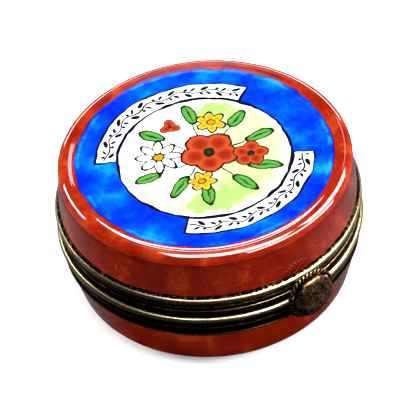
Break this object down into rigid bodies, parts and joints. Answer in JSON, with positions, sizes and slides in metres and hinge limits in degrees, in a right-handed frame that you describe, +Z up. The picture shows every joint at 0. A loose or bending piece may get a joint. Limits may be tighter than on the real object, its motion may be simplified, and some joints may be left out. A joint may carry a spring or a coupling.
{
  "type": "hinged trinket box",
  "caption": "Small round glazed porcelain keepsake box with a hinged lid, brass bands round both mouths and a domed button clasp.",
  "frame": {"origin": "centre of the flat underside, on the box's own axis", "axes": "+Z up, -Y towards the clasp at the front, +Y towards the hinge at the back, +X to the right seen from the front"},
  "size_m": [0.05, 0.055, 0.0252],
  "materials": {
    "red_glazed_porcelain": "gloss red-brown painted glaze, white inside",
    "painted_porcelain": "gloss glaze, hand painted blue ring and white roundel on the top",
    "antique_brass": "antiqued, dark in the grooves and rubbed bright on the beads",
    "inner_brass": "satin"
  },
  "bodies": {
    "base": {"base_bowl": "red_glazed_porcelain", "base_bezel": "antique_brass", "base_collar": "inner_brass", "base_knuckle_left": "antique_brass", "base_knuckle_middle": "antique_brass", "base_knuckle_right": "antique_brass", "hinge_pin": "antique_brass"},
    "lid": {"lid_shell": "painted_porcelain", "lid_bezel": "antique_brass", "lid_knuckle_left": "antique_brass", "lid_knuckle_right": "antique_brass"},
    "clasp": {"clasp_tongue": "inner_brass", "clasp_backplate": "antique_brass", "clasp_rope_ring": "antique_brass", "clasp_button": "antique_brass"}
  },
  "joints": [
    {"name": "lid_hinge", "type": "hinge", "parent": "base", "child": "lid", "pos_m": [0, 0.02601, 0.0132], "axis": [-1, 0, 0], "range_deg": [0, 100]},
    {"name": "clasp_flex", "type": "hinge", "parent": "lid", "child": "clasp", "pos_m": [0, -0.02485, 0.01535], "axis": [-1, 0, 0], "range_deg": [0, 4], "stiffness_Nm_per_rad": 0.05}
  ]
}
